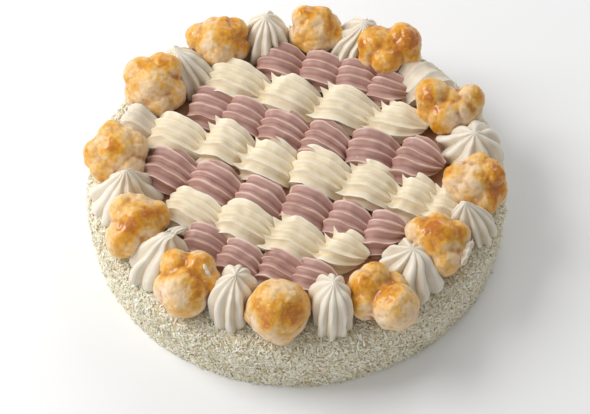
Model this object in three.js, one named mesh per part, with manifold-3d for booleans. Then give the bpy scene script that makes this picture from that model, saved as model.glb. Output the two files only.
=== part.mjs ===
// A Saint-Honore style cake. A round body wears a coat of fine shreds. Seven diagonal rows
// of piped cream, in two flavours by turns, cover its top, and a ring of glazed choux puffs
// with cream rosettes between them stands round the rim.
// Millimetres, +Z up, origin at the centre of the base, front at -Y.

import * as THREE from "three";
import { mergeVertices } from "three/addons/utils/BufferGeometryUtils.js";
import Module from "manifold-3d";

const wasm = await Module();
wasm.setup();

// Body: the wall leans out a little from the foot to the rounded shoulder.
const BODY_HEIGHT = 37;
const FOOT_RADIUS = 129.5;
const WALL_RADIUS = 131;
const SHOULDER = 9;
const SHRED_PITCH = 6;
const SHRED_RELIEF = 1.2;
const SHRED_SEED = 11;

// Fit: the space left between pieces that touch, and the level that the toppings stand on.
const GAP = 0.35;
const DECK = BODY_HEIGHT + GAP;

// Choux puffs, clockwise from the back left. Each stands a few degrees and millimetres off
// its even place on the ring. Its core carries lobes: bearing and tilt in degrees, radius,
// and reach from the puff's centre.
const PUFF_RING = 110;
const PUFF_LIFT = 14;
const FIRST_PUFF = 143.5;
const PUFF_DETAIL = 3;
const PUFFS = [
  { turn: -0.2, out: 2, core: 17, lobes: [[135, 35, 14, 21], [-30, 10, 15, 20.5], [215, 0, 14, 20]] },
  { turn: 1.3, out: 4.5, core: 16, lobes: [[170, 20, 12, 22], [70, 55, 11, 20], [-45, 5, 13, 20]] },
  { turn: -1.6, out: 3, core: 16, lobes: [[170, 35, 13, 19], [20, 45, 12, 19], [-90, 0, 14, 18]] },
  { turn: 2.1, out: 1.5, core: 18, lobes: [[20, 30, 15, 21.5], [-100, 5, 11, 21], [190, -5, 11, 20]] },
  { turn: 1.2, out: -2, core: 16, lobes: [[150, 40, 14, 20], [5, 20, 12.5, 24], [-80, -5, 13, 19]] },
  { turn: -3.9, out: 1, core: 16, lobes: [[190, 15, 14, 19], [0, 20, 13, 20], [-60, 0, 12, 19]] },
  { turn: -0.8, out: -4.5, core: 16, lobes: [[150, 30, 14, 20], [20, 15, 12, 20], [-90, 5, 14, 20]] },
  { turn: 2.1, out: 1, core: 16, lobes: [[140, 30, 14, 21], [-50, 10, 15, 22], [40, 0, 12, 18]] },
  { turn: -0.3, out: 0, core: 16.5, lobes: [[-30, 25, 13, 19.5], [140, 30, 14, 19], [-95, -5, 14, 20]] },
  { turn: -1.1, out: 0, core: 17, lobes: [[95, 35, 15, 20], [-110, 10, 16, 21.5], [-10, 15, 13, 19]] },
  { turn: -0.1, out: -4.5, core: 15.5, lobes: [[140, 35, 12, 21], [10, 20, 12, 20.5], [-110, -5, 13, 22]] },
  { turn: -1.1, out: 3, core: 16, lobes: [[185, 5, 12, 20.5], [75, 40, 12, 20], [-60, 0, 13, 20]] },
];

// Cream rosettes, one between each puff and the next. The peak leans in or out of the ring.
const ROSETTE_RING = 106;
const ROSETTE_LENGTH = 15;
const ROSETTE_WIDTH = 13.5;
const ROSETTE_RIDGES = 8;
const ROSETTE_GROOVE = 0.2;
const ROSETTE_TWIST = 12;
const ROSETTE_OUTLINE = [[0, 0.94], [0.3, 1], [0.64, 0.72], [0.9, 0.26]];
const ROSETTES = [
  { out: 2, height: 28, lean: 0 },
  { out: 4, height: 29, lean: 0 },
  { out: 5, height: 27, lean: 0 },
  { out: 5, height: 26, lean: -2 },
  { out: 5, height: 20, lean: 0 },
  { out: 8, height: 25, lean: -5 },
  { out: 0, height: 29, lean: -8 },
  { out: -1, height: 31, lean: -3 },
  { out: -1, height: 32, lean: -3 },
  { out: 1, height: 30, lean: -3 },
  { out: 2, height: 28, lean: -2 },
  { out: 3, height: 26, lean: 0 },
];

// Piped rows from back to front: distance of the row's line from the cake's middle, slope,
// half width, where the row starts along its line, and the length of each dollop in turn.
// A dollop's fat ridged head meets the covered tail of the one before it, and a row ends in
// a free tail. An outline point is a share of the length, of the half width and of the height.
const ROWS = [
  { cream: "mocha", offset: 78.5, slope: -20.5, width: 12.3, start: -54, lengths: [27, 24, 23, 29] },
  { cream: "vanilla", offset: 53.5, slope: -21, width: 12.4, start: -79, lengths: [36, 37, 37, 36] },
  { cream: "mocha", offset: 28, slope: -21.5, width: 12.8, start: -84, lengths: [23, 26, 30, 28, 31, 32] },
  { cream: "vanilla", offset: 1, slope: -21, width: 13.6, start: -99, lengths: [34, 29, 32, 34, 32, 23, 24] },
  { cream: "mocha", offset: -27, slope: -23.5, width: 12.6, start: -89, lengths: [29, 31, 30, 29, 26, 24] },
  { cream: "vanilla", offset: -52, slope: -24, width: 12.1, start: -66, lengths: [35, 33, 34, 30] },
  { cream: "mocha", offset: -75.5, slope: -25.5, width: 11.4, start: -43, lengths: [25, 26, 21, 23] },
];
const DOLLOP_HEIGHT = 17;
const DOLLOP_JOINT = 0.5;
const DOLLOP_RIDGES = 6;
const DOLLOP_GROOVE = 0.16;
const DOLLOP_SQUARENESS = 0.82;
const DOLLOP_HEAD = [[0, 0.64, 0.46], [0.16, 0.94, 0.88], [0.42, 1, 1], [0.75, 0.88, 0.8]];
const COVERED_TAIL = [1, 0.66, 0.6];
const FREE_TAIL = [1, 0.16, 0.2];

const FINISHES = {
  coat: { color: 0xd9d3bd, roughness: 0.8, metalness: 0 },
  choux: { color: 0xdda55c, roughness: 0.35, metalness: 0 },
  whipped: { color: 0xf1ebe0, roughness: 0.5, metalness: 0 },
  vanilla: { color: 0xf3e9cb, roughness: 0.5, metalness: 0 },
  mocha: { color: 0xb08584, roughness: 0.5, metalness: 0 },
};

const radians = THREE.MathUtils.degToRad;

function heading(bearing, tilt = 0) {
  const level = Math.cos(radians(tilt));
  const x = level * Math.cos(radians(bearing));
  const y = level * Math.sin(radians(bearing));
  return new THREE.Vector3(x, y, Math.sin(radians(tilt)));
}

// A closed skin over a stack of rings, with a fan of triangles to a point at each end.
function skin(first, rings, last) {
  const around = rings[0].length;
  const top = rings.length - 1;
  const points = [first, ...rings.flat(), last];
  const at = (ring, step) => 1 + ring * around + (step % around);
  const index = [];
  for (let step = 0; step < around; step += 1) {
    index.push(0, at(0, step + 1), at(0, step));
    for (let ring = 0; ring < top; ring += 1) {
      index.push(at(ring, step), at(ring, step + 1), at(ring + 1, step + 1));
      index.push(at(ring, step), at(ring + 1, step + 1), at(ring + 1, step));
    }
    index.push(points.length - 1, at(top, step), at(top, step + 1));
  }
  const geometry = new THREE.BufferGeometry().setFromPoints(points);
  geometry.setIndex(index);
  return geometry;
}

// The body: its side profile swept round, with a bump or hollow at each step of the coat.
function bodyGeometry() {
  const side = new THREE.Path();
  side.moveTo(FOOT_RADIUS, 0);
  side.lineTo(WALL_RADIUS, BODY_HEIGHT - SHOULDER);
  side.absarc(WALL_RADIUS - SHOULDER, BODY_HEIGHT - SHOULDER, SHOULDER, 0, Math.PI / 2);
  const rows = Math.round(side.getLength() / SHRED_PITCH);
  const around = Math.round((2 * Math.PI * WALL_RADIUS) / SHRED_PITCH);
  THREE.MathUtils.seededRandom(SHRED_SEED);
  const rings = [];
  for (let row = 0; row <= rows; row += 1) {
    const point = side.getPointAt(row / rows);
    const run = side.getTangentAt(row / rows);
    const rise = row === 0 ? 0 : -run.x;
    const relief = row === rows ? 0 : SHRED_RELIEF;
    const ring = [];
    for (let step = 0; step < around; step += 1) {
      const bump = relief * (2 * THREE.MathUtils.seededRandom() - 1);
      const spoke = heading((360 * (step + (row % 2) / 2)) / around);
      spoke.multiplyScalar(point.x + bump * run.y);
      ring.push(spoke.setZ(point.y + bump * rise));
    }
    rings.push(ring);
  }
  return skin(new THREE.Vector3(), rings, new THREE.Vector3(0, 0, BODY_HEIGHT));
}

// A puff about its own centre: the farthest of its core and lobes along each ray, cut flat
// at the deck.
function puffGeometry({ core, lobes }, grow) {
  const ball = new THREE.IcosahedronGeometry(1, PUFF_DETAIL);
  ball.deleteAttribute("normal");
  ball.deleteAttribute("uv");
  const geometry = mergeVertices(ball);
  const position = geometry.attributes.position;
  const ray = new THREE.Vector3();
  for (let i = 0; i < position.count; i += 1) {
    ray.fromBufferAttribute(position, i).normalize();
    let reach = core;
    for (const [bearing, tilt, radius, tip] of lobes) {
      const centre = heading(bearing, tilt).multiplyScalar(tip - radius);
      const along = centre.dot(ray);
      const half = Math.sqrt(radius * radius - centre.lengthSq() + along * along);
      reach = Math.max(reach, along + half);
    }
    reach += grow;
    if (ray.z < 0) {
      reach = Math.min(reach, (PUFF_LIFT + grow) / -ray.z);
    }
    ray.multiplyScalar(reach);
    position.setXYZ(i, ray.x, ray.y, ray.z);
  }
  return geometry;
}

// A rosette standing on its own origin, with the ring's outward direction along X.
function rosetteGeometry({ height, lean }, grow) {
  const steps = 2 * ROSETTE_RIDGES;
  const rings = ROSETTE_OUTLINE.map(([rise, swell]) => {
    const ring = [];
    for (let step = 0; step < steps; step += 1) {
      const spoke = heading((360 * step) / steps + rise * ROSETTE_TWIST);
      const share = swell * (step % 2 ? 1 - ROSETTE_GROOVE : 1);
      const x = spoke.x * (ROSETTE_LENGTH * share + grow) + lean * rise;
      const y = spoke.y * (ROSETTE_WIDTH * share + grow);
      ring.push(new THREE.Vector3(x, y, rise > 0 ? height * rise : -grow));
    }
    return ring;
  });
  const peak = new THREE.Vector3(lean, 0, height + grow);
  return skin(new THREE.Vector3(0, 0, -grow), rings, peak);
}

// A dollop along X from its head at the origin to its tail, flat underneath.
function dollopGeometry({ length, width, tail }, grow) {
  const outline = [...DOLLOP_HEAD, tail];
  const steps = 2 * DOLLOP_RIDGES;
  const rings = outline.map(([along, wide, high]) => {
    const past = along === 0 || along === 1 ? Math.sign(along - 0.5) * grow : 0;
    const ring = [];
    for (let step = 0; step <= steps; step += 1) {
      const spoke = heading((180 * step) / steps);
      const foot = step % steps === 0;
      const share = foot || step % 2 ? 1 : 1 - DOLLOP_GROOVE;
      const out = Math.sign(spoke.x) * Math.abs(spoke.x) ** DOLLOP_SQUARENESS;
      const up = Math.abs(spoke.y) ** DOLLOP_SQUARENESS;
      const y = out * (width * wide * share + grow);
      const z = up * (DOLLOP_HEIGHT * high * share + grow);
      ring.push(new THREE.Vector3(length * along + past, y, foot ? -grow : z));
    }
    return ring;
  });
  const middle = (ring) => new THREE.Vector3(ring[0].x, 0, ring[DOLLOP_RIDGES].z / 2);
  return skin(middle(rings[0]), rings, middle(rings[rings.length - 1]));
}

function solidOf(geometry) {
  const vertProperties = Float32Array.from(geometry.attributes.position.array);
  const triVerts = Uint32Array.from(geometry.index.array);
  return new wasm.Manifold(new wasm.Mesh({ numProp: 3, vertProperties, triVerts }));
}

// The largest body of a solid as a geometry.
function geometryOf(solid) {
  const [largest] = solid.decompose().sort((a, b) => b.volume() - a.volume());
  const { vertProperties, triVerts } = largest.getMesh();
  const geometry = new THREE.BufferGeometry();
  geometry.setAttribute("position", new THREE.BufferAttribute(vertProperties, 3));
  geometry.setIndex(new THREE.BufferAttribute(triVerts, 1));
  return geometry;
}

// A topping is a name, a finish, its place on the cake, and a shape that can be grown.
function topping(name, finish, bearing, position, shape) {
  const place = new THREE.Matrix4().makeRotationZ(radians(bearing));
  place.setPosition(position);
  return { name, finish, place, shape };
}

function placed(piece, grow) {
  return piece.shape(grow).applyMatrix4(piece.place);
}

const twoDigits = (number) => String(number).padStart(2, "0");

function puffBearing(number) {
  const step = 360 / PUFFS.length;
  return FIRST_PUFF - step * number + PUFFS[number % PUFFS.length].turn;
}

function puffs() {
  return PUFFS.map((puff, number) => {
    const place = heading(puffBearing(number)).multiplyScalar(PUFF_RING + puff.out);
    place.setZ(DECK + PUFF_LIFT);
    const shape = (grow) => puffGeometry(puff, grow);
    return topping(`puff_${twoDigits(number + 1)}`, "choux", 0, place, shape);
  });
}

function rosettes() {
  return ROSETTES.map((rosette, number) => {
    const bearing = (puffBearing(number) + puffBearing(number + 1)) / 2;
    const place = heading(bearing).multiplyScalar(ROSETTE_RING + rosette.out).setZ(DECK);
    const shape = (grow) => rosetteGeometry(rosette, grow);
    return topping(`rosette_${twoDigits(number + 1)}`, "whipped", bearing, place, shape);
  });
}

function dollops() {
  const pieces = [];
  ROWS.forEach(({ cream, offset, slope, width, start, lengths }, row) => {
    const place = heading(slope + 90).multiplyScalar(offset).setZ(DECK);
    place.addScaledVector(heading(slope), start);
    lengths.forEach((pitch, number) => {
      const ends = number === lengths.length - 1;
      const length = ends ? pitch : pitch - DOLLOP_JOINT;
      const form = { length, width, tail: ends ? FREE_TAIL : COVERED_TAIL };
      const shape = (grow) => dollopGeometry(form, grow);
      const name = `dollop_${row + 1}_${number + 1}`;
      pieces.push(topping(name, cream, slope, place.clone(), shape));
      place.addScaledVector(heading(slope), pitch);
    });
  });
  return pieces;
}

// A piece with the room of every earlier neighbour, grown by the gap, cut out of it.
function fitted(piece, neighbours) {
  const own = placed(piece, 0);
  own.computeBoundingBox();
  let solid = solidOf(own);
  for (const neighbour of neighbours) {
    const room = placed(neighbour, GAP);
    room.computeBoundingBox();
    if (room.boundingBox.intersectsBox(own.boundingBox)) {
      solid = solid.subtract(solidOf(room));
    }
  }
  return geometryOf(solid).applyMatrix4(piece.place.clone().invert());
}

function meshOf(name, finish, geometry) {
  geometry.computeVertexNormals();
  const mesh = new THREE.Mesh(geometry, new THREE.MeshStandardMaterial(FINISHES[finish]));
  mesh.name = name;
  return mesh;
}

const cake = new THREE.Group();
cake.add(meshOf("cake_body", "coat", bodyGeometry()));

const toppings = [...puffs(), ...rosettes(), ...dollops()];
toppings.forEach((piece, order) => {
  const geometry = fitted(piece, toppings.slice(0, order));
  const mesh = meshOf(piece.name, piece.finish, geometry);
  mesh.applyMatrix4(piece.place);
  cake.add(mesh);
});

export default cake;
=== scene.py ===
"""The looks of a Saint-Honore style cake: a body coated in fine shreds, seven piped rows of
cream in two flavours, and a ring of glazed choux puffs with cream rosettes between them.
Metres, +Z up, origin at the centre of the base, front at -Y.
"""

import math

import bmesh
import bpy
import numpy as np
from mathutils import Matrix, Vector


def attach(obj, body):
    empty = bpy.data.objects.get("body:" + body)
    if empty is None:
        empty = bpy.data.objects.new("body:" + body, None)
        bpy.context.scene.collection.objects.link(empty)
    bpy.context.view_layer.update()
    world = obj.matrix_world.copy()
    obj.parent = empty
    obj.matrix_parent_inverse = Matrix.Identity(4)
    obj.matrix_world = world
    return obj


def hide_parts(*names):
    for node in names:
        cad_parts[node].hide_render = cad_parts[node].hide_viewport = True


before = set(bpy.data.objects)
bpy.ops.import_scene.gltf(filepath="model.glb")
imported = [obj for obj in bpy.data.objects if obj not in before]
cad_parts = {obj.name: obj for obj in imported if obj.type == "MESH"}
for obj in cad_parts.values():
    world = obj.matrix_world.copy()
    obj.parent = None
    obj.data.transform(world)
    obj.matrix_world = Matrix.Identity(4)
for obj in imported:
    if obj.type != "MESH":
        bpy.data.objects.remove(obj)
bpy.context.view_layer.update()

# Body: the wall leans out from the foot to a rounded shoulder, and toppings stand on the deck.
BODY_HEIGHT = 0.037
FOOT_RADIUS = 0.1295
WALL_RADIUS = 0.131
SHOULDER = 0.009
SHOULDER_STEPS = 6
BODY_SIDES = 180
DECK = 0.03735
# The slab that cuts the feet of the toppings flat.
SLAB_WIDTH = 0.4
SLAB_DEPTH = 0.1
# A point this near to a level counts as lying on it.
LEVEL_REACH = 1e-6
# Edges that bend by less than this are shaded smooth, in degrees.
BODY_ANGLE = 50
RIDGE_ANGLE = 28
SOFT_ANGLE = 60

# Coat: shreds lie on the wall, the shoulder and the rim of the deck, and inside that rim the
# spread cream fades into the filling, whose brown is in part painted shade for the gaps between the
# toppings.
COAT_INNER_RADIUS = 0.108
COAT_FADE = 0.006
# It went on in uneven handfuls: the size of one, how many places are drawn for each shred, the
# chance of a place in the thinnest spots, and how strongly the shreds keep to the thick ones.
COAT_PATCH = 0.007
COAT_PATCH_SEED = 24
COAT_CHOICE = 2
COAT_THINNEST = 0.15
COAT_BUNCHING = 1.5
COAT_KINDS = [
    {"name": "coat_long_shreds", "count": 12000, "seed": 21, "length": (0.0034, 0.0066), "half": 0.00058},
    {"name": "coat_short_shreds", "count": 13000, "seed": 22, "length": (0.0020, 0.0038), "half": 0.00062},
    {"name": "coat_crumbs", "count": 11000, "seed": 23, "length": (0.0010, 0.0020), "half": 0.00060},
]
# A shred: mean and spread of its rise out of the coat in radians, most lift of its middle, least
# and most share of its half thickness, spread of its bow and place of its corners as shares of
# its length, and the lowest level that it reaches.
SHRED_RISE = (0.16, 0.34)
SHRED_LIFT = 0.0011
SHRED_THICKNESS = (0.75, 1.25)
SHRED_BOW = 0.12
SHRED_CORNERS = 0.24
SHRED_SIDES = 3
LOWEST_SHRED = 0.0002

# Choux puffs, clockwise from the back left: turn off the even place and shift out of the ring,
# the balls of dough that the puff swelled into (place from its centre, and radius), and the
# patches that caught the caramel (bearing, tilt and spread in degrees, and depth).
PUFF_RING = 0.110
PUFF_LIFT = 0.014
FIRST_PUFF = 143.5
PUFF_STEP = 30
PUFFS = [
    {"turn": -0.2, "out": 0.002,
     "balls": [(0, 0, 0, 0.0182), (-0.007, 0.0055, 0.005, 0.0122), (0.007, 0.0068, 0.007, 0.0122),
               (0.010, -0.0045, -0.002, 0.0120), (0.003, -0.009, -0.003, 0.0125),
               (-0.008, -0.0028, -0.003, 0.0115)],
     "caramel": [(27, 64, 28, 0.7), (180, 67, 22, 0.6), (-161, 31, 22, 0.5), (-70, 5, 30, 0.4)]},
    {"turn": 1.3, "out": 0.0045,
     "balls": [(0, 0, 0, 0.0165), (0.0032, 0.005, 0.009, 0.0070), (-0.0115, 0.003, 0.001, 0.0105),
               (0.011, 0.004, 0.004, 0.0095), (0.011, -0.003, -0.004, 0.0100),
               (0, -0.007, -0.002, 0.0125)],
     "caramel": [(-170, 27, 30, 0.9), (0, 78, 25, 0.9), (-90, 53, 18, 0.7), (-16, 20, 26, 1.3)]},
    {"turn": -1.6, "out": 0.003,
     "balls": [(0, 0, 0, 0.0155), (-0.0065, 0.003, 0.007, 0.0095), (0.004, 0.003, 0.007, 0.0090),
               (0.0085, 0.002, 0, 0.0095), (-0.0085, -0.003, -0.004, 0.0105),
               (0, -0.006, -0.004, 0.0125), (0.009, -0.004, -0.004, 0.0105)],
     "caramel": [(-163, 77, 25, 0.9), (-30, 40, 24, 1.1), (-120, 10, 25, 0.5)]},
    {"turn": 2.1, "out": 0.0015,
     "balls": [(0, 0, -0.002, 0.0150), (-0.0082, 0.003, 0.001, 0.0132), (0.0095, 0.003, 0.003, 0.0128),
               (0.010, -0.003, -0.004, 0.0112), (-0.002, -0.0100, 0, 0.0105),
               (-0.0120, -0.003, -0.005, 0.0095)],
     "caramel": [(-21, 48, 40, 1.3), (-165, 22, 20, 1.2), (150, 50, 30, 0.7), (-95, 30, 50, 0.5)]},
    {"turn": 1.2, "out": -0.002,
     "balls": [(0, 0, -0.003, 0.0135), (-0.010, 0.0035, 0.004, 0.0122), (0.014, 0.001, 0.002, 0.0102),
               (0.013, -0.002, -0.003, 0.0098), (-0.002, -0.0085, -0.003, 0.0128),
               (0.007, -0.006, -0.003, 0.0115), (-0.010, -0.003, -0.004, 0.0100)],
     "caramel": [(-176, 48, 34, 0.9), (-136, 39, 16, 1.1), (-6, 26, 30, 1.0), (-120, -5, 25, 0.8)]},
    {"turn": -3.9, "out": 0.001,
     "balls": [(0, 0, -0.001, 0.0155), (-0.008, 0.002, 0.001, 0.0115), (0.010, 0.003, 0.004, 0.0108),
               (0.011, -0.002, -0.004, 0.0108), (0.003, 0.008, 0.005, 0.0095),
               (0.007, -0.008, -0.004, 0.0108)],
     "caramel": [(-30, 33, 28, 1.3), (9, 55, 26, 1.0), (-53, -2, 26, 1.0), (160, 36, 22, 0.8)]},
    {"turn": -0.8, "out": -0.0045,
     "balls": [(0, 0, 0, 0.0168), (-0.009, 0.005, 0.003, 0.0110), (0.001, 0.008, 0.004, 0.0105),
               (0.010, 0.003, 0.002, 0.0110), (0.003, -0.010, -0.002, 0.0120),
               (-0.008, -0.003, -0.003, 0.0115), (0.008, -0.005, -0.003, 0.0115)],
     "caramel": [(-124, 57, 32, 1.0), (107, 76, 30, 0.8), (-10, 50, 28, 0.7), (-75, 0, 30, 0.4)]},
    {"turn": 2.1, "out": 0.001,
     "balls": [(0.0078, -0.0092, -0.0005, 0.0150), (-0.0083, 0.004, 0.003, 0.0118),
               (-0.004, 0.008, 0.005, 0.0105), (0.007, 0.005, -0.001, 0.0095),
               (-0.008, -0.003, -0.002, 0.0122), (0, 0, -0.003, 0.0140)],
     "caramel": [(-141, 70, 28, 1.0), (-150, 28, 22, 0.8), (60, 50, 30, 0.7)]},
    {"turn": -0.3, "out": 0.0,
     "balls": [(0, 0, 0.001, 0.0188), (0.0095, 0, 0.001, 0.0108), (-0.008, 0, 0, 0.0122),
               (-0.001, 0.006, 0.005, 0.0120), (0, -0.006, -0.003, 0.0140),
               (0.006, 0.005, 0.002, 0.0120)],
     "caramel": [(-50, 34, 26, 1.6), (-118, 30, 14, 1.0), (-150, 50, 34, 0.6), (20, 30, 30, 0.6)]},
    {"turn": -1.1, "out": 0.0,
     "balls": [(-0.001, -0.007, -0.001, 0.0152), (-0.005, 0.008, 0.005, 0.0108),
               (0.007, 0.006, 0.005, 0.0115), (0.010, 0, 0, 0.0112),
               (-0.009, -0.003, -0.002, 0.0115), (0, 0, -0.001, 0.0150)],
     "caramel": [(-58, 35, 18, 1.0), (5, 62, 32, 0.8), (150, 55, 30, 0.7), (-81, 8, 20, 0.4)]},
    {"turn": -0.1, "out": -0.0045,
     "balls": [(0, 0, 0, 0.0170), (-0.007, 0.006, 0.005, 0.0112), (0.010, 0.003, 0.002, 0.0105),
               (-0.007, -0.0095, -0.002, 0.0135), (0.003, -0.006, -0.003, 0.0125)],
     "caramel": [(-28, 60, 20, 1.2), (-119, 56, 26, 1.0), (-8, 20, 22, 1.0), (-109, 18, 26, 0.6)]},
    {"turn": -1.1, "out": 0.003,
     "balls": [(0, 0, 0, 0.0165), (-0.011, -0.002, -0.001, 0.0112), (-0.002, 0.005, 0.005, 0.0115),
               (0.010, 0, 0.001, 0.0112), (-0.006, -0.008, -0.004, 0.0115),
               (0.007, -0.008, -0.004, 0.0118)],
     "caramel": [(-100, 58, 26, 1.2), (-151, 16, 26, 0.8), (-110, -8, 18, 1.0), (120, 50, 30, 0.6)]},
]
# Dough: detail of a ball, size of the mesh over the balls, how often the dough is softened before
# and after it cracks, and for its lumps, cracks and crust their size and depth. The cracks' middle
# is the part of their range that leaves the dough where it is.
BALL_DETAIL = 4
DOUGH_MESH = 0.0007
DOUGH_SOFTENING = (8, 1)
LUMPS = {"size": 0.015, "depth": 0.0028}
CRACKS = {"size": 0.013, "depth": 0.0026, "middle": 0.3}
CRUST = {"size": 0.0035, "depth": 0.0009}
# Marks on the dough: depth from a bulge to a full fold, which gets painted shade, and rounds of blurring
# it, caramel all over, more of it on top and in a patch, and how far a spot's facing follows its place and
# normal.
FOLD_DEPTH = 0.00012
FOLD_BLUR = 3
THIN_CARAMEL = 0.20
TOP_CARAMEL = 0.14
PATCH_CARAMEL = 0.56
FACING_PLACE = 0.6
FACING_NORMAL = 0.4

# Cream rosettes, one after each puff: shift out of the ring, height, half sizes along and across
# the ring's radius, lean of the peak out of the ring and round it, and the form.
ROSETTE_RING = 0.106
ROSETTES = [
    {"out": 0.002, "height": 0.025, "half": (0.0200, 0.0150), "lean": (0.006, 0.004), "form": "sheaf"},
    {"out": 0.005, "height": 0.026, "half": (0.0185, 0.0155), "lean": (0.003, 0.0), "form": "sheaf"},
    {"out": 0.004, "height": 0.025, "half": (0.0205, 0.0150), "lean": (0.005, -0.006), "form": "sheaf"},
    {"out": 0.001, "height": 0.0185, "half": (0.0174, 0.0168), "lean": (0.0, -0.004), "form": "fan"},
    {"out": 0.004, "height": 0.021, "half": (0.0215, 0.0205), "lean": (0.003, 0.0), "form": "flower"},
    {"out": 0.012, "height": 0.026, "half": (0.0150, 0.0120), "lean": (-0.007, 0.001), "form": "cone"},
    {"out": -0.001, "height": 0.025, "half": (0.0212, 0.0184), "lean": (-0.0035, 0.005), "form": "blossom"},
    {"out": 0.003, "height": 0.030, "half": (0.0170, 0.0118), "lean": (-0.005, 0.0030), "form": "bell"},
    {"out": 0.001, "height": 0.030, "half": (0.0170, 0.0121), "lean": (-0.006, 0.001), "form": "bell"},
    {"out": 0.004, "height": 0.028, "half": (0.0190, 0.0152), "lean": (-0.011, 0.0), "form": "trail"},
    {"out": 0.001, "height": 0.031, "half": (0.0235, 0.0200), "lean": (-0.002, 0.0), "form": "tent"},
    {"out": 0.000, "height": 0.019, "half": (0.0140, 0.0120), "lean": (0.0, 0.0), "form": "fan"},
]
# A station of an upright form: share of the height, of the half sizes and of the lean.
CONE = [(-0.03, 0.84, 0.0), (0.06, 0.96, 0.03), (0.20, 1.00, 0.10), (0.36, 0.95, 0.24), (0.52, 0.82, 0.42),
        (0.67, 0.63, 0.62), (0.80, 0.42, 0.80), (0.91, 0.21, 0.92), (1.00, 0.05, 1.0)]
BELL = [(-0.03, 0.90, 0.0), (0.06, 0.93, 0.03), (0.25, 0.97, 0.12), (0.45, 1.00, 0.28), (0.62, 0.98, 0.46),
        (0.75, 0.86, 0.64), (0.85, 0.65, 0.80), (0.93, 0.40, 0.92), (0.98, 0.19, 1.0), (1.01, 0.06, 1.05)]
BLOSSOM = [(-0.03, 0.90, 0.0), (0.10, 1.00, 0.03), (0.30, 0.99, 0.12), (0.50, 0.91, 0.30),
           (0.68, 0.77, 0.50), (0.82, 0.59, 0.70), (0.92, 0.40, 0.88), (0.98, 0.20, 1.0), (1.00, 0.06, 1.0)]
SHEAF = [(-0.03, 0.96, -0.2), (0.08, 1.00, -0.15), (0.26, 0.98, 0.0), (0.44, 0.90, 0.22),
         (0.60, 0.79, 0.46), (0.74, 0.64, 0.68), (0.86, 0.46, 0.86), (0.95, 0.27, 0.96), (1.00, 0.10, 1.0)]
TENT = [(-0.03, 1.00, 0.0), (0.05, 0.99, 0.03), (0.15, 0.91, 0.08), (0.28, 0.78, 0.18), (0.43, 0.62, 0.34),
        (0.58, 0.47, 0.52), (0.73, 0.32, 0.70), (0.87, 0.17, 0.88), (1.00, 0.05, 1.0)]
FLOWER = [(-0.03, 0.84, 0.0), (0.08, 0.96, 0.03), (0.26, 1.00, 0.10), (0.46, 0.92, 0.24),
          (0.63, 0.74, 0.42), (0.78, 0.52, 0.62), (0.88, 0.33, 0.80), (0.95, 0.17, 0.92), (1.00, 0.06, 1.0)]
TRAIL = [*CONE[:-1], (0.93, 0.21, 1.3), (0.86, 0.19, 1.75), (0.76, 0.14, 2.15), (0.70, 0.05, 2.4)]
# A station of a fan, which rises at the cake's rim and comes down towards the middle: share of
# the half length, of the height, of the half width and of the lean.
FAN = [(1.00, -0.12, 0.66, 1.0), (1.03, 0.10, 0.75, 1.0), (1.00, 0.32, 0.83, 1.0), (0.90, 0.56, 0.90, 0.9),
       (0.73, 0.77, 0.96, 0.8), (0.50, 0.92, 1.00, 0.7), (0.22, 1.00, 1.00, 0.55), (-0.06, 0.97, 0.98, 0.4),
       (-0.33, 0.85, 0.93, 0.25), (-0.58, 0.66, 0.85, 0.1), (-0.80, 0.42, 0.74, 0.0),
       (-0.95, 0.18, 0.60, 0.0), (-1.02, -0.02, 0.45, 0.0)]
FAN_PIVOT = (-0.1, -0.3)
# Each form's ridges, depth of the hollows, turn along the form and waver of that turn in degrees.
ROSETTE_FORMS = {
    "cone": {"stations": CONE, "ridges": 9, "groove": 0.28, "twist": 14, "waver": 3},
    "bell": {"stations": BELL, "ridges": 10, "groove": 0.20, "twist": 4, "waver": 2},
    "tent": {"stations": TENT, "ridges": 9, "groove": 0.27, "twist": 10, "waver": 3},
    "flower": {"stations": FLOWER, "ridges": 8, "groove": 0.34, "twist": 26, "waver": 5},
    "blossom": {"stations": BLOSSOM, "ridges": 9, "groove": 0.32, "twist": 18, "waver": 4},
    "sheaf": {"stations": SHEAF, "ridges": 11, "groove": 0.24, "twist": 10, "waver": 3},
    "trail": {"stations": TRAIL, "ridges": 7, "groove": 0.28, "twist": 10, "waver": 3},
    "fan": {"stations": FAN, "ridges": 11, "groove": 0.22, "twist": 8, "waver": 2},
}
# Sharpness of the hollows or, on a fan, of the ridge lines, and size and depth of the lumps.
ROSETTE_SHARPNESS = 0.85
ROSETTE_LUMP = 0.014
ROSETTE_WOBBLE = 0.0034

# White streaks on two of the puffs: a smear of cream that the piping left on puff 7, and on puff 10 a
# painted highlight of the glossy caramel, made as cream. Place, run from end to end and half width,
# with stations along the run (share of the run and of the half width).
WHITE_STREAKS = [
    {"puff": 7, "place": (0.1011, -0.0730, 0.0539), "run": (0.008, 0.0184, 0.0005), "half": 0.0032},
    {"puff": 10, "place": (-0.0544, -0.0879, 0.0653), "run": (0.0035, -0.0056, -0.0050), "half": 0.0014},
]
SMEAR_STATIONS = [(-0.50, 0.20), (-0.38, 0.95), (-0.20, 0.75), (0.00, 0.40), (0.20, 0.85), (0.38, 0.60),
                  (0.50, 0.12)]
SMEAR_FORM = {"ridges": 5, "groove": 0.3, "twist": 20, "waver": 12}
SMEAR_LUMP = 0.004
# The wobble of a smear, as a share of its half width.
SMEAR_WOBBLE = 1.5

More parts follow.
